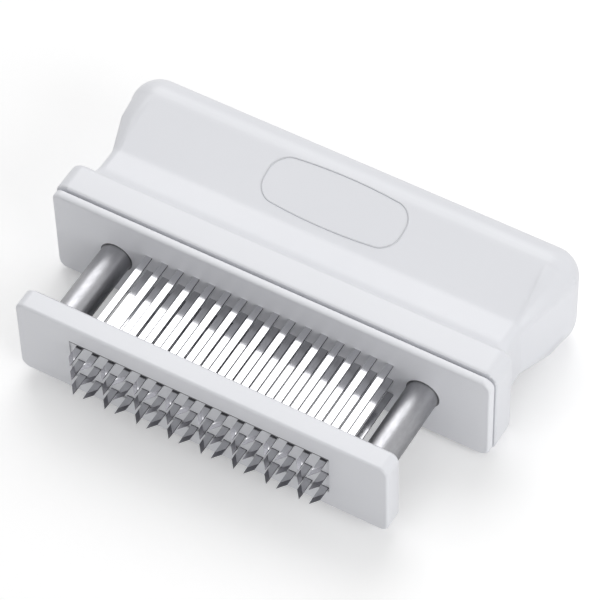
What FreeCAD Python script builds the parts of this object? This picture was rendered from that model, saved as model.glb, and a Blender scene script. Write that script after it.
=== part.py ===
import FreeCAD, Part
import math
import os

# A hand tenderizer with 48 blades, lying on its long side.
# X runs along the tool, the blades point towards -Y and the handle is at +Y, +Z is up.
# The origin is under the middle of the whole tool, on the surface it lies on. Millimetres.

# Stack along Y, from the blade tips to the top of the grip
TIP_OUT = 6.8
GUARD_THICK = 7.2
OPEN_GAP = 30.8
PLATE_THICK = 3.1
HANDLE_TALL = 54.4

# Widths and lengths of the moulded pieces
TOOL_WIDE = 36.0
FLANGE_LONG = 146.0
GRIP_LONG = 148.6
PLATE_LONG = 145.0
PLATE_WIDE = 33.4
GUARD_LONG = 122.0
GUARD_WIDE = 29.0
GUARD_CORNER = 3.0
GUARD_EDGE = 0.9
PLATE_CORNER = 3.0
PLATE_EDGE = 0.8
FLANGE_CORNER = 4.5
SEAM_DEEP = 1.0
SEAM_HIGH = 0.7
RIM_EDGE = 0.6

# Outline of the grip above its flange
FLANGE_TALL = 10.4
SHOULDER_R = 2.0
NECK_INSET = 5.7
NECK_AT = 17.0
BEND_AT = 22.5
BEND_R = 6.0
COVE_R = 9.0
COVE_SUNK = 0.8
SWELL_AT = 41.0
GRIP_R = 9.0

# Blades
ROWS = 3
PER_ROW = 16
PITCH = 5.34
ROW_PITCH = 6.75
FIELD_SHIFT = 0.5
BLADE_WIDE = 2.1
BLADE_THICK = 0.6
BLADE_SLANT = 2.7
BEVEL_WIDE = 1.3
BLADE_EDGE = 0.08
BLADE_COVER = 1.5
GRIND_OVER = 2.0

# Blade openings in the guard and the shallow field they stand in
SLOT_GAP = 0.25
FIELD_DEEP = 0.5
FIELD_LEFT = 2.4
FIELD_RIGHT = 0.6
FIELD_ABOVE = 0.5

# Columns, their sleeves and springs
COLUMN_AT = 51.1
COLUMN_R = 5.0
COLUMN_BORE_R = 4.1
SOCKET_DEEP = 5.0
BOSS_R = 5.3
BOSS_TALL = 0.9
RUN_GAP = 0.08
SLEEVE_R = 7.2
SLEEVE_TALL = 13.0
STOP_GAP = 0.3
STOP_R = 6.2
STOP_TALL = 1.8
WELL_R = 7.6
WELL_FLOOR = 8.0
SPRING_R = 3.7
SPRING_WIRE = 1.1

# Blade carrier inside the handle
CARRIER_LONG = 86.0
CARRIER_WIDE = 18.6
CARRIER_TALL = 11.0
POCKET_GAP = 0.3

# Places worked out from the stack
Y_TIP = -(TIP_OUT + GUARD_THICK + OPEN_GAP + PLATE_THICK + HANDLE_TALL) / 2
Y_GUARD = Y_TIP + TIP_OUT
Y_GUARD_BACK = Y_GUARD + GUARD_THICK
Y_PLATE = Y_GUARD_BACK + OPEN_GAP
Y_SEAM = Y_PLATE + PLATE_THICK
Y_TOP = Y_SEAM + HANDLE_TALL
Z_MID = TOOL_WIDE / 2
Y_SLEEVE_END = Y_SEAM + SLEEVE_TALL
Y_COLUMN_END = Y_SLEEVE_END + STOP_GAP + STOP_TALL
Y_WELL_END = Y_TOP - WELL_FLOOR
Y_BLADE_END = Y_SEAM + CARRIER_TALL - BLADE_COVER
ACROSS = FreeCAD.Vector(1, 0, 0)
ALONG = FreeCAD.Vector(0, 1, 0)
UP = FreeCAD.Vector(0, 0, 1)


def vec(x, y, z):
    return FreeCAD.Vector(x, y, z)


def outline(half_x, half_z, corner, y):
    """A rounded rectangle across the push axis, at one place along it."""
    cut = corner * (1 - math.sqrt(0.5))
    x0, x1 = half_x - corner, half_x
    z0, z1 = half_z - corner, half_z
    top, low = Z_MID + z1, Z_MID - z1
    up, down = Z_MID + z0, Z_MID - z0
    far_x, far_up, far_down = x1 - cut, top - cut, low + cut
    line = lambda a, b: Part.LineSegment(vec(a[0], y, a[1]), vec(b[0], y, b[1])).toShape()
    arc = lambda a, m, b: Part.Arc(vec(a[0], y, a[1]), vec(m[0], y, m[1]), vec(b[0], y, b[1])).toShape()
    return Part.Wire([
        line((-x0, top), (x0, top)),
        arc((x0, top), (far_x, far_up), (x1, up)),
        line((x1, up), (x1, down)),
        arc((x1, down), (far_x, far_down), (x0, low)),
        line((x0, low), (-x0, low)),
        arc((-x0, low), (-far_x, far_down), (-x1, down)),
        line((-x1, down), (-x1, up)),
        arc((-x1, up), (-far_x, far_up), (-x0, top)),
    ])


def slab(long, wide, corner, y0, y1):
    """A rounded rectangular plate between two places along the push axis."""
    return Part.Face(outline(long / 2, wide / 2, corner, y0)).extrude(ALONG * (y1 - y0))


def edges_at(shape, y):
    """The edges of a shape that lie whole in one plane across the push axis."""
    near = 1e-4
    return [e for e in shape.Edges if abs(e.BoundBox.YMin - y) < near and abs(e.BoundBox.YMax - y) < near]


def rod(x, radius, y0, y1):
    return Part.makeCylinder(radius, y1 - y0, vec(x, y0, Z_MID), ALONG)


def block(x0, x1, y0, y1, z0, z1):
    return Part.makeBox(x1 - x0, y1 - y0, z1 - z0, vec(x0, y0, z0))


def grip_line():
    """The side of the grip in section: its start, then (middle, end) of each arc or straight step.

    A point is (height above the seam, distance out from the centre of the corner). The hollow cove
    meets the straight neck, a short bend turns it outwards, and a flare runs on into the rounded crown.
    """
    neck = GRIP_R - NECK_INSET
    rise = SWELL_AT - BEND_AT
    cove_turn = math.asin((NECK_AT - FLANGE_TALL + COVE_SUNK) / COVE_R)
    apart = math.hypot(rise, neck + BEND_R)
    flare_turn = math.asin((BEND_R + GRIP_R) / apart) - math.atan2(neck + BEND_R, rise)
    crown_at = HANDLE_TALL - GRIP_R

    def cove(turn):
        return NECK_AT - COVE_R * math.sin(turn), neck + COVE_R * (1 - math.cos(turn))

    def bend(turn):
        return BEND_AT + BEND_R * math.sin(turn), neck + BEND_R * (1 - math.cos(turn))

    def round_at(height, turn):
        return height + GRIP_R * math.sin(turn), GRIP_R * math.cos(turn)

    return cove(cove_turn), [
        (cove(cove_turn / 2), cove(0)),
        (None, bend(0)),
        (bend(flare_turn / 2), bend(flare_turn)),
        (None, round_at(SWELL_AT, -flare_turn)),
        (round_at(SWELL_AT, -flare_turn / 2), round_at(SWELL_AT, 0)),
        (None, round_at(crown_at, 0)),
        (round_at(crown_at, math.radians(45)), (HANDLE_TALL, 0)),
    ]


def grip_face(place):
    """The section as a face; place turns a height and a distance out into a point."""
    start, steps = grip_line()
    edges = []
    here = start
    for middle, end in steps:
        points = [place(*point) for point in (here, middle, end) if point]
        edges.append((Part.Arc(*points) if middle else Part.LineSegment(*points)).toShape())
        here = end
    for end in ((start[0], 0), start):
        edges.append(Part.LineSegment(place(*here), place(*end)).toShape())
        here = end
    return Part.Face(Part.Wire(edges))


def make_grip():
    """Two ends and two sides with one section, and the same section turned round each corner."""
    far = GRIP_LONG / 2 - GRIP_R
    high = TOOL_WIDE / 2 - GRIP_R
    foot = Y_SEAM + FLANGE_TALL - COVE_SUNK
    pieces = []
    for way in (-1, 1):
        end = grip_face(lambda y, out: vec(way * (far + out), Y_SEAM + y, Z_MID - high))
        pieces.append(end.extrude(UP * 2 * high))
        side = grip_face(lambda y, out: vec(-far, Y_SEAM + y, Z_MID + way * (high + out)))
        pieces.append(side.extrude(ACROSS * 2 * far))
        for up in (-1, 1):
            middle = vec(way * far, 0, Z_MID + up * high)
            corner = grip_face(lambda y, out: vec(way * (far + out), Y_SEAM + y, middle.z))
            pieces.append(corner.revolve(middle, ALONG, -90 * way * up))
    core = block(-far, far, foot, Y_TOP, Z_MID - high, Z_MID + high)
    return core.fuse(pieces).removeSplitter()


def make_handle_shell():
    flange = slab(FLANGE_LONG, TOOL_WIDE, FLANGE_CORNER, Y_SEAM, Y_SEAM + FLANGE_TALL)
    flange = flange.makeFillet(SHOULDER_R, edges_at(flange, Y_SEAM + FLANGE_TALL))
    flange = flange.makeChamfer(RIM_EDGE, edges_at(flange, Y_SEAM))
    body = flange.fuse(make_grip())
    for side in (-1, 1):
        body = body.cut(rod(side * COLUMN_AT, WELL_R, Y_SEAM, Y_WELL_END))
    gap = POCKET_GAP
    half = CARRIER_LONG / 2 + gap
    x0, x1 = FIELD_SHIFT - half, FIELD_SHIFT + half
    pocket = block(x0, x1, Y_SEAM, Y_SEAM + CARRIER_TALL + gap,
                   Z_MID - CARRIER_WIDE / 2 - gap, Z_MID + CARRIER_WIDE / 2 + gap)
    return body.cut(pocket)


def blade_places():
    """Row and number of each blade with the place of its middle."""
    for row in range(ROWS):
        z = Z_MID + ((ROWS - 1) / 2 - row) * ROW_PITCH
        for number in range(PER_ROW):
            yield row, number, FIELD_SHIFT + (number - (PER_ROW - 1) / 2) * PITCH, z


def openings(gap, y0, y1):
    """The 48 straight holes that the blades pass, wider than them by a gap all round."""
    half_x = BLADE_WIDE / 2 + gap
    half_z = BLADE_THICK / 2 + gap
    return [block(x - half_x, x + half_x, y0, y1, z - half_z, z + half_z) for _, _, x, z in blade_places()]


def make_base_plate():
    step = Y_SEAM - SEAM_HIGH
    plate = slab(PLATE_LONG, PLATE_WIDE, PLATE_CORNER, Y_PLATE, step)
    plate = plate.makeChamfer(PLATE_EDGE, edges_at(plate, Y_PLATE))
    inner = slab(PLATE_LONG - 2 * SEAM_DEEP, PLATE_WIDE - 2 * SEAM_DEEP, PLATE_CORNER - SEAM_DEEP, step, Y_SEAM)
    parts = [inner]
    for side in (-1, 1):
        parts.append(rod(side * COLUMN_AT, SLEEVE_R, Y_SEAM, Y_SLEEVE_END))
    plate = plate.fuse(parts)
    for side in (-1, 1):
        plate = plate.cut(rod(side * COLUMN_AT, COLUMN_R + RUN_GAP, Y_PLATE, Y_SLEEVE_END))
    return plate.cut(openings(0, Y_PLATE, Y_SEAM)).removeSplitter()


def make_blade_carrier():
    """A bar with one groove for each row of blades."""
    half = CARRIER_LONG / 2
    reach = (PER_ROW - 1) * PITCH / 2 + BLADE_WIDE / 2
    carrier = block(FIELD_SHIFT - half, FIELD_SHIFT + half, Y_SEAM, Y_SEAM + CARRIER_TALL,
                    Z_MID - CARRIER_WIDE / 2, Z_MID + CARRIER_WIDE / 2)
    grooves = []
    for row in range(ROWS):
        z = Z_MID + ((ROWS - 1) / 2 - row) * ROW_PITCH
        grooves.append(block(FIELD_SHIFT - reach, FIELD_SHIFT + reach, Y_SEAM, Y_BLADE_END,
                             z - BLADE_THICK / 2, z + BLADE_THICK / 2))
    return carrier.cut(grooves)


def make_guard_plate():
    guard = slab(GUARD_LONG, GUARD_WIDE, GUARD_CORNER, Y_GUARD, Y_GUARD_BACK)
    guard = guard.makeFillet(GUARD_EDGE, edges_at(guard, Y_GUARD))
    guard = guard.makeChamfer(GUARD_EDGE, edges_at(guard, Y_GUARD_BACK))
    half = (PER_ROW - 1) * PITCH / 2 + BLADE_WIDE / 2
    high = (ROWS - 1) * ROW_PITCH / 2 + BLADE_THICK / 2
    field = block(FIELD_SHIFT - half - FIELD_LEFT, FIELD_SHIFT + half + FIELD_RIGHT, Y_GUARD, Y_GUARD + FIELD_DEEP,
                  Z_MID - high - FIELD_ABOVE, Z_MID + high + FIELD_ABOVE)
    bosses = [rod(side * COLUMN_AT, BOSS_R, Y_GUARD_BACK, Y_GUARD_BACK + BOSS_TALL) for side in (-1, 1)]
    guard = guard.fuse(bosses)
    sockets = [rod(side * COLUMN_AT, COLUMN_R, Y_GUARD_BACK - SOCKET_DEEP, Y_GUARD_BACK + BOSS_TALL)
               for side in (-1, 1)]
    return guard.cut([field] + sockets + openings(SLOT_GAP, Y_GUARD, Y_GUARD_BACK))


def make_column(x):
    """A steel tube with a rolled collar at its inner end, which stops it at the sleeve."""
    foot = Y_GUARD_BACK - SOCKET_DEEP
    tube = rod(x, COLUMN_R, foot, Y_COLUMN_END)
    collar = rod(x, STOP_R, Y_SLEEVE_END + STOP_GAP, Y_COLUMN_END)
    return tube.fuse(collar).removeSplitter().cut(rod(x, COLUMN_BORE_R, foot, Y_COLUMN_END))


def make_spring(x):
    foot = Y_GUARD_BACK - SOCKET_DEEP
    outer = rod(x, SPRING_R, foot, Y_WELL_END)
    return outer.cut(rod(x, SPRING_R - SPRING_WIRE, foot, Y_WELL_END))


def make_blade(tip_side):
    """One strip with a slanted point at one edge and the slant ground from both faces."""
    half = BLADE_WIDE / 2
    tip = vec(tip_side * half, Y_TIP, 0)
    heel = vec(-tip_side * half, Y_TIP + BLADE_SLANT, 0)
    ring = [tip, heel, vec(-tip_side * half, Y_BLADE_END, 0), vec(tip_side * half, Y_BLADE_END, 0), tip]
    strip = Part.Face(Part.makePolygon(ring)).extrude(UP * BLADE_THICK)
    strip.translate(UP * (-BLADE_THICK / 2))
    slant = (heel - tip).normalize()
    inward = vec(tip_side * slant.y, abs(slant.x), 0)
    first = tip - slant * GRIND_OVER
    shoulder = first + inward * BEVEL_WIDE
    outside = BLADE_THICK
    for face in (-1, 1):
        edge = UP * (face * BLADE_EDGE / 2)
        skin = UP * (face * BLADE_THICK / 2)
        clear = UP * (face * outside)
        lead = first - inward * BLADE_EDGE
        ground = [lead + edge, lead + clear, shoulder + clear, shoulder + skin, first + edge, lead + edge]
        strip = strip.cut(Part.Face(Part.makePolygon(ground)).extrude(slant * (BLADE_SLANT + 3 * GRIND_OVER)))
    return strip


def main():
    os.makedirs("parts", exist_ok=True)
    parts = {
        "handle_shell": make_handle_shell(),
        "base_plate": make_base_plate(),
        "blade_carrier": make_blade_carrier(),
        "guard_plate": make_guard_plate(),
    }
    for name, side in (("left", -1), ("right", 1)):
        parts["column_" + name] = make_column(side * COLUMN_AT)
        parts["spring_" + name] = make_spring(side * COLUMN_AT)
    points = {1: make_blade(1), -1: make_blade(-1)}
    for row, number, x, z in blade_places():
        blade = points[1 if number % 2 == 0 else -1].copy()
        blade.translate(vec(x, 0, z))
        parts[f"blade_{row + 1}_{number + 1:02d}"] = blade
    for name, shape in parts.items():
        box = shape.BoundBox
        print(f"{name}: valid {shape.isValid()}, solids {len(shape.Solids)}, volume {shape.Volume:.1f},"
              f" y {box.YMin:.1f} to {box.YMax:.1f}, z {box.ZMin:.1f} to {box.ZMax:.1f}")
        shape.exportStep(f"parts/{name}.step")


main()
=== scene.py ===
# %% [markdown]
# A hand tenderizer in white plastic and steel
#
# The tool lies on its long side. A moulded grip ends in a wide flange, and a thin base plate closes
# it. Forty-eight steel blades come out of the base plate and run through a guard plate, which slides
# on two steel columns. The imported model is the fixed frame, and this lesson gives it its surfaces.
# %% Load the frame
import bpy
import math
from mathutils import Matrix, Vector


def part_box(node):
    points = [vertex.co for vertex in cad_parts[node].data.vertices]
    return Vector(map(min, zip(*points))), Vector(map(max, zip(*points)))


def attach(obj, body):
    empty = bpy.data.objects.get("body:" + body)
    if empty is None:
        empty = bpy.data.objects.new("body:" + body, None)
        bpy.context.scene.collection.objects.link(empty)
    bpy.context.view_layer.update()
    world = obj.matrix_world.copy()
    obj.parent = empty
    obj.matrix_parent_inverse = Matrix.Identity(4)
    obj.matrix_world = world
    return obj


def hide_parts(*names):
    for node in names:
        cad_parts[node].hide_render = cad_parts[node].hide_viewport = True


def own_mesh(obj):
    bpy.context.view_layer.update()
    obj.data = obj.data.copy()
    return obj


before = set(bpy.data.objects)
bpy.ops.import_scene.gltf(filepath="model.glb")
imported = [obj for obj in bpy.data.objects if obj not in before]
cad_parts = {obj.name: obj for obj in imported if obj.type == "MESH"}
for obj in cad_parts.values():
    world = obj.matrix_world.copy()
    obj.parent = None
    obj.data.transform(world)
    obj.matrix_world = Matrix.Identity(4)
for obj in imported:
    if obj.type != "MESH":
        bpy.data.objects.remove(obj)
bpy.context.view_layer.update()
scene = bpy.context.scene
MM = 0.001

# %% [markdown]
# The camera
#
# A long lens far away keeps the long edges almost parallel, as in a product shot. The camera looks
# down at about 52 degrees past the right end, and is turned a little about its own axis. Its three
# axes are worked out here and set as the columns of one matrix, which leaves nothing to a constraint.
# %% Camera
CAMERA_AZIMUTH = math.radians(31.41)
CAMERA_HEIGHT = math.radians(51.86)
CAMERA_ROLL = math.radians(-1.74)
CAMERA_AWAY = 1.0715
CAMERA_TARGET = Vector((0.01006, -0.00435, 0.03334))
CAMERA_LENS = 226.2

flat = math.cos(CAMERA_HEIGHT)
towards = Vector((math.sin(CAMERA_AZIMUTH) * flat, -math.cos(CAMERA_AZIMUTH) * flat, math.sin(CAMERA_HEIGHT)))
level = (-towards).cross(Vector((0, 0, 1))).normalized()
upright = level.cross(-towards)
right = level * math.cos(CAMERA_ROLL) + upright * math.sin(CAMERA_ROLL)
up = upright * math.cos(CAMERA_ROLL) - level * math.sin(CAMERA_ROLL)
lens = bpy.data.cameras.new("camera")
lens.lens = CAMERA_LENS
lens.clip_end = 10
camera = bpy.data.objects.new("camera", lens)
scene.collection.objects.link(camera)
axes = Matrix((right, up, towards)).transposed().to_4x4()
camera.matrix_world = Matrix.Translation(CAMERA_TARGET + towards * CAMERA_AWAY) @ axes
scene.camera = camera
print("camera at", tuple(round(v, 3) for v in camera.matrix_world.translation))

# %% [markdown]
# Shader sums
#
# A material is worked out by nodes, and long rows of Math nodes are hard to read. The class below
# wraps one socket, so that a sum on it adds the node. Any other node comes from one method of the
# finish, which takes the node's type, its settings and the values or links of its sockets.
# %% Sums on sockets
class Wire:
    """One output of a node, which can be added, multiplied, raised or compared."""

    def __init__(self, tree, socket):
        self.tree = tree
        self.socket = socket

    def sum(self, operation, first, second):
        node = self.tree.nodes.new("ShaderNodeMath")
        node.operation = operation
        connect(self.tree, node.inputs[0], first)
        connect(self.tree, node.inputs[1], second)
        return Wire(self.tree, node.outputs[0])

    def __add__(self, other):
        return self.sum("ADD", self, other)

    def __radd__(self, other):
        return self.sum("ADD", other, self)

    def __sub__(self, other):
        return self.sum("SUBTRACT", self, other)

    def __rsub__(self, other):
        return self.sum("SUBTRACT", other, self)

    def __mul__(self, other):
        return self.sum("MULTIPLY", self, other)

    def __rmul__(self, other):
        return self.sum("MULTIPLY", other, self)

    def __pow__(self, other):
        return self.sum("POWER", self, other)

    def __gt__(self, other):
        return self.sum("GREATER_THAN", self, other)

    def __lt__(self, other):
        return self.sum("LESS_THAN", self, other)

    def __abs__(self):
        return self.sum("ABSOLUTE", self, 0)


def connect(tree, socket, value):
    """Links a wire to a socket, or sets the socket to a plain value."""
    if isinstance(value, Wire):
        tree.links.new(value.socket, socket)
    else:
        socket.default_value = value


class Finish:
    """A material in the making, with its surface shader and one way to add any node."""

    def __init__(self, name, settings):
        self.material = bpy.data.materials.new(name)
        self.material.use_nodes = True
        self.tree = self.material.node_tree
        self.surface = self.tree.nodes["Principled BSDF"]
        self.set(settings)

    def set(self, settings):
        for socket, value in settings.items():
            connect(self.tree, self.surface.inputs[socket], value)

    def node(self, kind, settings, sockets, output):
        node = self.tree.nodes.new(kind)
        for name, value in settings.items():
            setattr(node, name, value)
        for name, value in sockets.items():
            connect(self.tree, node.inputs[name], value)
        return Wire(self.tree, node.outputs[output])

    def place(self):
        return self.node("ShaderNodeTexCoord", {}, {}, "Object")

    def axis(self, letter):
        """One object coordinate, in metres."""
        return self.node("ShaderNodeSeparateXYZ", {}, {"Vector": self.place()}, letter)

    def stretched(self, size):
        """Object coordinates multiplied along each axis, to draw out a pattern."""
        return self.node("ShaderNodeMapping", {}, {"Vector": self.place(), "Scale": size}, "Vector")

    def noise(self, vector, scale, detail):
        sockets = {"Vector": vector, "Scale": scale, "Detail": detail}
        return self.node("ShaderNodeTexNoise", {}, sockets, "Fac")

    def mix(self, factor, first, second):
        node = self.tree.nodes.new("ShaderNodeMix")
        node.data_type = "RGBA"
        for place, value in ((0, factor), (6, first), (7, second)):
            connect(self.tree, node.inputs[place], value)
        return Wire(self.tree, node.outputs[2])

    def colour(self):
        """The colour that the finish already has, as a wire for a further mix."""
        return Wire(self.tree, self.surface.inputs["Base Color"].links[0].from_socket)

    def bump(self, height, strength, distance):
        sockets = {"Height": height, "Strength": strength, "Distance": distance}
        return self.node("ShaderNodeBump", {}, sockets, "Normal")


print("shader sums ready")

# %% [markdown]
# White moulded plastic
#
# The grip, base plate and guard are injection moulded in a hard white plastic. The mould leaves a
# satin gloss with a very fine grain, and the melt leaves faint clouds in the colour. Two noises do
# this: a wide one shifts the colour and the gloss a little, and a fine one feeds the bump.
# %% White plastic
PLASTIC_LIGHT = (0.810, 0.818, 0.852, 1)
PLASTIC_SHADE = (0.780, 0.790, 0.828, 1)
PLASTIC_ROUGH = 0.23
PLASTIC_IOR = 1.5
CLOUD_SCALE = 28
CLOUD_DETAIL = 3
CLOUD_ROUGH = 0.10
GRAIN_SCALE = 1400
GRAIN_DETAIL = 2
GRAIN_ROUGH = 0.05
GRAIN_STRENGTH = 0.12
GRAIN_DEEP = 0.05 * MM


def white_plastic(name, light=PLASTIC_LIGHT, shade=PLASTIC_SHADE):
    finish = Finish(name, {"IOR": PLASTIC_IOR})
    cloud = finish.noise(finish.place(), CLOUD_SCALE, CLOUD_DETAIL)
    grain = finish.noise(finish.place(), GRAIN_SCALE, GRAIN_DETAIL)
    finish.set({
        "Base Color": finish.mix(cloud, light, shade),
        "Roughness": PLASTIC_ROUGH + CLOUD_ROUGH * cloud + GRAIN_ROUGH * grain,
        "Normal": finish.bump(grain, GRAIN_STRENGTH, GRAIN_DEEP),
    })
    return finish


plastic = white_plastic("white_plastic_moulded").material
print(plastic.name, len(plastic.node_tree.nodes), "nodes")

# %% [markdown]
# Painted shade rings in the base plate
#
# The columns slide through two holes in the base plate, and painted shade darkens the rim of each hole
# as the shadow of the gap there. The distance from the nearer column is worked out from the coordinates,
# with the absolute value of X because the two holes mirror each other, and a narrow band of it is tinted
# grey.
# %% Base plate plastic
column_low, column_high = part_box("column_right")
COLUMN_X = (column_low.x + column_high.x) / 2
COLUMN_Z = (column_low.z + column_high.z) / 2
HOLE_R = 5.1 * MM
RING_WIDE = 0.30 * MM
RING_LEAST = 0.7
RING_SPREAD = 0.6
RING_JITTER_SCALE = 500
RING_JITTER_DETAIL = 2
# The ring tint below is painted shade, the grey of the shadow gap at each hole
RING_SHADE_TINT = (0.16, 0.16, 0.17, 1)
# The plate's two whites are lighter than those of the grip and guard: painted light, which brightens the
# plate's shaded underside
PLATE_BRIGHTENED_LIGHT = (0.865, 0.873, 0.905, 1)
PLATE_BRIGHTENED_SHADE = (0.835, 0.845, 0.883, 1)


def plate_plastic():
    finish = white_plastic("white_plastic_painted_lighter_with_shade_rings", PLATE_BRIGHTENED_LIGHT, PLATE_BRIGHTENED_SHADE)
    across = abs(finish.axis("X")) - COLUMN_X
    over = finish.axis("Z") - COLUMN_Z
    away = (across * across + over * over) ** 0.5
    ring_jitter = finish.noise(finish.place(), RING_JITTER_SCALE, RING_JITTER_DETAIL)
    # painted shade: a grey ring round each hole, its width varied by a noise
    ring = (HOLE_R + RING_WIDE * (RING_LEAST + RING_SPREAD * ring_jitter)) - away
    finish.set({"Base Color": finish.mix(ring > 0, finish.colour(), RING_SHADE_TINT)})
    return finish.material


plate_finish = plate_plastic()
print(plate_finish.name, "column at", round(COLUMN_X, 4), round(COLUMN_Z, 4))

# %% [markdown]
# The blade field on the guard
#
# The blades leave the guard through a shallow field, and a thin dark line of painted shadow runs along
# its upper edge, for the shade of a gap there. The line is too fine to model, so it is drawn in the finish
# by the height above the top row of blades. It is kept to the length of the field, and to the plastic at the
# front of the guard.
# %% Guard plastic
first_low, first_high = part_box("blade_1_01")
last_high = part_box("blade_1_16")[1]
guard_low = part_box("guard_plate")[0]
LINE_ABOVE_BLADES = 0.65 * MM
FIELD_LEFT = 2.4 * MM
FIELD_RIGHT = 0.6 * MM
FRONT_DEEP = 1.0 * MM
FIELD_TOP = first_high.z + LINE_ABOVE_BLADES
FIELD_START = first_low.x - FIELD_LEFT
FIELD_END = last_high.x + FIELD_RIGHT
SHADOW_GAP_HALF = 0.24 * MM
SHADOW_GAP_TINT = (0.17, 0.17, 0.18, 1)


def guard_plastic():
    finish = white_plastic("white_plastic_with_painted_shadow_gap")
    from_top = abs(finish.axis("Z") - FIELD_TOP)
    from_middle = abs(finish.axis("X") - (FIELD_START + FIELD_END) / 2)
    # painted shadow: a thin dark line along the top of the blade field
    line = (SHADOW_GAP_HALF > from_top) * ((FIELD_END - FIELD_START) / 2 > from_middle)
    front = (guard_low.y + FRONT_DEEP) > finish.axis("Y")
    finish.set({"Base Color": finish.mix(line * front, finish.colour(), SHADOW_GAP_TINT)})
    return finish.material


guard_finish = guard_plastic()
print(guard_finish.name, "field from", round(FIELD_START, 4), "to", round(FIELD_END, 4))

# %% [markdown]
# Drawn steel columns
#
# The columns are tubes of drawn steel. Drawing leaves fine lines along the tube, so the noise is
# squeezed across the tube and drawn out along it before it changes the gloss and the bump. A second
# noise is nearly even in all directions and gives the dull mottle of a tube that is not polished.
# %% Column steel
DRAWN = (900, 12, 900)
DRAWN_DETAIL = 4
DRAWN_SHARE = 0.45
DRAWN_ROUGH = 0.12
MOTTLED = (950, 420, 950)
MOTTLED_DETAIL = 5
MOTTLED_ROUGH = 0.14
MOTTLED_HEIGHT = 1.4
STEEL_SHADE = 0.62
STEEL_STRENGTH = 0.30
STEEL_DEEP = 0.05 * MM


def drawn_steel(name, tint, rough):
    finish = Finish(name, {"Metallic": 1.0})
    lines = finish.noise(finish.stretched(DRAWN), 1, DRAWN_DETAIL)
    mottle = finish.noise(finish.stretched(MOTTLED), 1, MOTTLED_DETAIL)
    dark = tuple(v * STEEL_SHADE for v in tint) + (1,)
    finish.set({
        "Base Color": finish.mix(DRAWN_SHARE * lines + (1 - DRAWN_SHARE) * mottle, tint + (1,), dark),
        "Roughness": rough + DRAWN_ROUGH * lines + MOTTLED_ROUGH * mottle,
        "Normal": finish.bump(lines + MOTTLED_HEIGHT * mottle, STEEL_STRENGTH, STEEL_DEEP),
    })
    return finish.material


column_steel = drawn_steel("column_steel_drawn", tint=(0.44, 0.44, 0.46), rough=0.24)
spring_steel = drawn_steel("spring_steel_wire", tint=(0.40, 0.40, 0.42), rough=0.30)
print(column_steel.name, spring_steel.name)

# %% [markdown]
# Polished blades with ground points
#
# A blade is a thin polished strip. Its slanted point is ground from both faces, and the grinding
# wheel leaves it duller and darker. The ground facets are the only faces that lean towards the
# tip, so the slope of the surface along the tool tells them from the flat faces and side edges.
# The side edges are the faces that look along X. Their dark grey is painted shade, for the shadow between
# neighbouring blades, and they are rougher too.
# %% Blade steel
GROUND_SLOPE = 0.06
SIDE_SLOPE = 0.9
SIDE_SHADE_TINT = (0.11, 0.11, 0.12, 1)
SIDE_ROUGH = 0.2
ROLLED = (1500, 40, 1500)
ROLLED_DETAIL = 3
ROLLED_LIGHT = (0.56, 0.56, 0.58, 1)
ROLLED_DARK = (0.46, 0.46, 0.48, 1)
WHEEL = (300, 2600, 2600)
WHEEL_DETAIL = 2
WHEEL_LIGHT = (0.27, 0.27, 0.29, 1)
WHEEL_DARK = (0.17, 0.17, 0.19, 1)
BLADE_ROUGH = 0.10
ROLLED_ROUGH = 0.05
GROUND_ROUGH = 0.14
WHEEL_ROUGH = 0.12
ROLLED_STRENGTH = 0.08
ROLLED_DEEP = 0.02 * MM


def blade_steel(name):
    finish = Finish(name, {"Metallic": 1.0})
    normal = finish.node("ShaderNodeNewGeometry", {}, {}, "True Normal")
    ground = abs(finish.node("ShaderNodeSeparateXYZ", {}, {"Vector": normal}, "Y")) > GROUND_SLOPE
    # painted shade: the faces that look along X get a dark tint, for the shadow between blades
    shaded_side = abs(finish.node("ShaderNodeSeparateXYZ", {}, {"Vector": normal}, "X")) > SIDE_SLOPE
    lines = finish.noise(finish.stretched(ROLLED), 1, ROLLED_DETAIL)
    wheel = finish.noise(finish.stretched(WHEEL), 1, WHEEL_DETAIL)
    polished = finish.mix(lines, ROLLED_LIGHT, ROLLED_DARK)
    dull = finish.mix(wheel, WHEEL_LIGHT, WHEEL_DARK)
    ground_rough = ground * (GROUND_ROUGH + WHEEL_ROUGH * wheel)
    finish.set({
        "Base Color": finish.mix(shaded_side, finish.mix(ground, polished, dull), SIDE_SHADE_TINT),
        "Roughness": BLADE_ROUGH + ROLLED_ROUGH * lines + ground_rough + SIDE_ROUGH * shaded_side,
        "Normal": finish.bump(lines, ROLLED_STRENGTH, ROLLED_DEEP),
    })
    return finish.material


blade_finish = blade_steel("blade_steel_polished")
print(blade_finish.name, len(blade_finish.node_tree.nodes), "nodes")

# %% [markdown]
# Smooth skins for the moulded pieces
#
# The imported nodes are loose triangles, so light breaks on every one of them. A copy is merged into
# one surface and shaded smooth below a chosen angle. A weighted normal then lets the large flat
# faces keep their own direction, so that only the rounded edges blend. The copy stands for the node.
# %% Skin helper
MERGE = 0.002 * MM
FLAT = math.radians(0.3)
WEIGHT = 80


def only(piece):
    """Selects one piece and nothing else, because an operator acts on all that is selected."""
    bpy.ops.object.select_all(action="DESELECT")
    piece.select_set(True)
    bpy.context.view_layer.objects.active = piece


def apply(piece, kind, **settings):
    """Adds a modifier, sets it and makes it part of the mesh."""
    only(piece)
    modifier = piece.modifiers.new(kind.lower(), kind)
    for name, value in settings.items():
        setattr(modifier, name, value)
    bpy.ops.object.modifier_apply(modifier=modifier.name)


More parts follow.
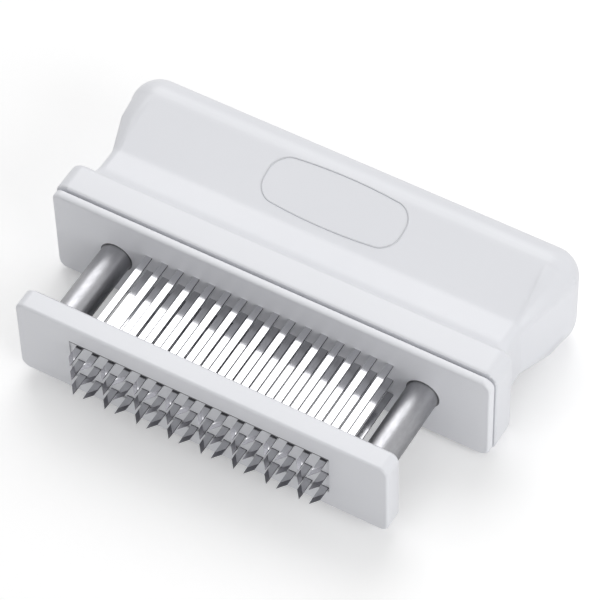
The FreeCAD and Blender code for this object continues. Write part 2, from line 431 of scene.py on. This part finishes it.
def skin(node, body, angle, material, reshape=None):
    """Makes a smooth copy of a node, which rides on its body and stands for it."""
    piece = bpy.data.objects.new(node + "_skin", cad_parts[node].data.copy())
    scene.collection.objects.link(piece)
    only(piece)
    bpy.ops.object.mode_set(mode="EDIT")
    bpy.ops.mesh.select_all(action="SELECT")
    bpy.ops.mesh.remove_doubles(threshold=MERGE)
    if reshape:
        reshape(piece)
    bpy.ops.mesh.select_all(action="SELECT")
    bpy.ops.mesh.dissolve_limited(angle_limit=FLAT, use_dissolve_boundaries=False)
    bpy.ops.object.mode_set(mode="OBJECT")
    bpy.ops.object.shade_smooth_by_angle(angle=math.radians(angle))
    apply(piece, "WEIGHTED_NORMAL", keep_sharp=True, weight=WEIGHT)
    piece.data.materials.clear()
    piece.data.materials.append(material)
    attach(piece, body)
    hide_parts(node)
    print(piece.name, len(piece.data.polygons), "faces")
    return piece


print("copies merge points within", MERGE, "m")

# %% [markdown]
# The flare of the grip
#
# Above its neck the grip flares out to its widest line and then rounds over the top. On the real one
# the flare runs on a little further up, into a tighter round. The points of that line form a narrow
# band in the merged copy, so the band is picked by its place and moved up as a whole.
# %% Grip
SEAM_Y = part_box("handle_shell")[0].y
BAND_START = SEAM_Y + 37.5 * MM
BAND_END = SEAM_Y + 41.5 * MM
BAND_LIFT = 4.4 * MM


def lift_widest_band(piece):
    """Moves the widest line of the grip up, in edit mode, so that the flare runs on to it."""
    bpy.ops.mesh.select_all(action="DESELECT")
    bpy.ops.object.mode_set(mode="OBJECT")
    for vertex in piece.data.vertices:
        vertex.select = BAND_START < vertex.co.y < BAND_END
    bpy.ops.object.mode_set(mode="EDIT")
    bpy.ops.mesh.select_mode(type="VERT")
    bpy.ops.transform.translate(value=(0, BAND_LIFT, 0))


MOULDED_ANGLE = 50
grip = skin("handle_shell", "handle", MOULDED_ANGLE, plastic, lift_widest_band)

# %% [markdown]
# Plate, guard and columns
#
# The other moulded pieces need no reshaping. The columns are drawn tubes, and a smaller angle keeps
# the edge of the stop collar sharp while the tube itself shades as one round surface.
# %% Plate, guard and columns
TUBE_ANGLE = 40
plate = skin("base_plate", "handle", MOULDED_ANGLE, plate_finish)
guard = skin("guard_plate", "guard", MOULDED_ANGLE, guard_finish)
for side in ("left", "right"):
    column = skin("column_" + side, "guard", TUBE_ANGLE, column_steel)

# %% [markdown]
# Coil springs
#
# Inside each column a long compression spring pushes the guard out, from the guard up to the end of
# its well in the grip. One ring of wire is drawn beside the axis and a screw modifier winds it.
# %% Springs
WIRE_R = 0.55 * MM
WIRE_SIDES = 8
WIRE_ANGLE = math.radians(60)
TURNS = 26
STEPS = 22


def coil(side, at_x):
    low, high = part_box("spring_" + side)
    reach = (high.x - low.x) / 2 - WIRE_R
    tall = high.y - low.y - 2 * WIRE_R
    bpy.ops.object.select_all(action="DESELECT")
    bpy.ops.mesh.primitive_circle_add(vertices=WIRE_SIDES, radius=WIRE_R, location=(reach, 0, 0))
    spring = bpy.context.object
    spring.name = "coil_spring_" + side
    bpy.ops.object.transform_apply(location=True, rotation=False, scale=False)
    apply(spring, "SCREW", axis="Y", screw_offset=tall / TURNS, iterations=TURNS, steps=STEPS,
          render_steps=STEPS, use_normal_calculate=True)
    bpy.ops.object.mode_set(mode="EDIT")
    bpy.ops.mesh.select_all(action="DESELECT")
    bpy.ops.mesh.select_mode(type="EDGE")
    bpy.ops.mesh.select_non_manifold()
    bpy.ops.mesh.edge_face_add()
    bpy.ops.mesh.select_all(action="SELECT")
    bpy.ops.mesh.normals_make_consistent(inside=False)
    bpy.ops.object.mode_set(mode="OBJECT")
    bpy.ops.object.shade_smooth_by_angle(angle=WIRE_ANGLE)
    spring.location = (at_x, low.y + WIRE_R, COLUMN_Z)
    bpy.ops.object.transform_apply(location=True, rotation=False, scale=False)
    spring.data.materials.append(spring_steel)
    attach(spring, "handle")
    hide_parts("spring_" + side)
    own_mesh(spring)


coil("left", -COLUMN_X)
coil("right", COLUMN_X)

# %% [markdown]
# A moulded line on the grip
#
# The upper side of the grip carries a plain raised line in the shape of a long rounded plate. A flat
# outline is drawn above the grip, its long sides are bowed a little, and a shrinkwrap along Z drops
# It is then turned into a thin round bead that is half sunk in the plastic, and its grey is painted shade,
# for the groove along the line.
# %% Moulded line
LINE_HALF_LONG = 22.9 * MM
LINE_HALF_HIGH = 8.4 * MM
LINE_X = 0.8 * MM
LINE_Y = 31.7 * MM
LINE_START_Z = 45 * MM
LINE_CORNER = 5.6 * MM
LINE_CORNER_STEPS = 10
LINE_CUTS = 6
LINE_BULGE = 1.5 * MM
LINE_BEAD = 0.24 * MM
LINE_ROUND = 2
# The bead's two greys are painted shade along the moulded line
LINE_PAINTED_SHADE_PALE = (0.66, 0.67, 0.70, 1)
LINE_PAINTED_SHADE_DARK = (0.58, 0.59, 0.62, 1)


def moulded_line():
    straight = LINE_HALF_HIGH - LINE_BULGE
    bpy.ops.object.select_all(action="DESELECT")
    bpy.ops.mesh.primitive_plane_add(size=2, location=(LINE_X, LINE_Y, LINE_START_Z))
    line = bpy.context.object
    line.name = "grip_line"
    line.scale = (LINE_HALF_LONG, straight, 1)
    bpy.ops.object.transform_apply(location=True, rotation=False, scale=True)
    bpy.ops.object.mode_set(mode="EDIT")
    bpy.ops.mesh.select_all(action="SELECT")
    bpy.ops.mesh.bevel(affect="VERTICES", offset=LINE_CORNER, segments=LINE_CORNER_STEPS)
    bpy.ops.mesh.select_all(action="SELECT")
    bpy.ops.mesh.delete(type="ONLY_FACE")
    bpy.ops.mesh.select_all(action="SELECT")
    bpy.ops.mesh.subdivide(number_cuts=LINE_CUTS)
    bpy.ops.object.mode_set(mode="OBJECT")
    for vertex in line.data.vertices:
        along = (vertex.co.x - LINE_X) / LINE_HALF_LONG
        away = (vertex.co.y - LINE_Y) / straight
        vertex.co.y += away * LINE_BULGE * (1 - along ** 2)
    apply(line, "SHRINKWRAP", target=grip, wrap_method="PROJECT", use_project_z=True,
          use_negative_direction=True, use_positive_direction=False)
    only(line)
    bpy.ops.object.convert(target="CURVE")
    line.data.bevel_depth = LINE_BEAD
    line.data.bevel_resolution = LINE_ROUND
    bpy.ops.object.convert(target="MESH")
    bpy.ops.object.shade_smooth()
    line.data.materials.append(white_plastic("white_plastic_line_painted_shade", LINE_PAINTED_SHADE_PALE, LINE_PAINTED_SHADE_DARK).material)
    return line


grip_line = moulded_line()
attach(grip_line, "handle")
print(grip_line.name, len(grip_line.data.polygons), "faces")

# %% [markdown]
# Surfaces for the nodes that stay
#
# The blades are flat strips, so their own triangles are already right and they only need steel.
# The carrier sits inside the grip and is the same white plastic. A node that a copy or a coil stands
# for gets its finish too, so that every node has one. The first name that fits a node decides.
# %% Assign finishes
NODE_FINISHES = {
    "blade_carrier": plastic,
    "blade_": blade_finish,
    "spring_": spring_steel,
    "column_": column_steel,
    "": plastic,
}

for name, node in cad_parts.items():
    start = next(start for start in NODE_FINISHES if name.startswith(start))
    node.data.materials.clear()
    node.data.materials.append(NODE_FINISHES[start])
print("dressed", len(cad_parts), "nodes")

# %% [markdown]
# The floor
#
# A wide pale floor catches a soft shadow. A little glow, which only the camera sees, lifts it to the
# white of the background without throwing more light on the tool.
# %% Floor
FLOOR_SIZE = 6
FLOOR_BELOW = 0.2 * MM
FLOOR_ROUGH = 0.9
FLOOR_IOR = 1.1
FLOOR_GLOW = (0.2, 0.2, 0.2, 1)
FLOOR_LIGHT = (0.96, 0.96, 0.96, 1)
FLOOR_SHADE = (0.94, 0.94, 0.94, 1)
DUST_SCALE = 4
DUST_DETAIL = 2
BLACK = (0, 0, 0, 1)

bpy.ops.object.select_all(action="DESELECT")
bpy.ops.mesh.primitive_plane_add(size=FLOOR_SIZE, location=(0, 0, -FLOOR_BELOW))
floor = bpy.context.object
floor.name = "floor"
pale = Finish("floor_pale", {"Roughness": FLOOR_ROUGH, "IOR": FLOOR_IOR, "Emission Strength": 1.0})
dust = pale.noise(pale.place(), DUST_SCALE, DUST_DETAIL)
seen = pale.node("ShaderNodeLightPath", {}, {}, "Is Camera Ray")
pale.set({
    "Base Color": pale.mix(dust, FLOOR_LIGHT, FLOOR_SHADE),
    "Emission Color": pale.mix(seen, BLACK, FLOOR_GLOW),
})
floor.data.materials.append(pale.material)
print("floor", FLOOR_SIZE, "m wide")

# %% [markdown]
# Lamps and world
#
# One large lamp hangs above and behind the tool and one stands to its right, so that upward faces and
# the right end are bright and the guard's front is greyer. The world is white where the camera or a
# reflection sees it, and dimmer as a light, which keeps the white plastic from clipping.
# %% Lamps and world
WORLD_LIGHT = 0.43


def lamp(name, place, aim, size, power):
    light = bpy.data.lights.new(name, "AREA")
    light.size = size
    light.energy = power
    holder = bpy.data.objects.new(name, light)
    holder.location = place
    holder.rotation_euler = (Vector(aim) - Vector(place)).to_track_quat("-Z", "Y").to_euler()
    scene.collection.objects.link(holder)


lamp("lamp_above", place=(-0.32, 0.54, 0.86), aim=(0, 0, 0), size=0.8, power=5.0)
lamp("lamp_right", place=(0.66, -0.22, 0.36), aim=(0, 0, 0.02), size=0.5, power=2.2)
world = bpy.data.worlds.new("white_room")
world.use_nodes = True
scene.world = world
sky = world.node_tree.nodes["Background"]
ray = world.node_tree.nodes.new("ShaderNodeLightPath")
direct = Wire(world.node_tree, ray.outputs["Is Camera Ray"])
shiny = Wire(world.node_tree, ray.outputs["Is Glossy Ray"])
clear = Wire(world.node_tree, ray.outputs["Is Transmission Ray"])
shown = (direct + shiny + clear) > 0.5
connect(world.node_tree, sky.inputs["Strength"], WORLD_LIGHT + (1 - WORLD_LIGHT) * shown)
sky.inputs["Color"].default_value = (1, 1, 1, 1)
scene.view_settings.view_transform = "Standard"
print("lamps and world set")
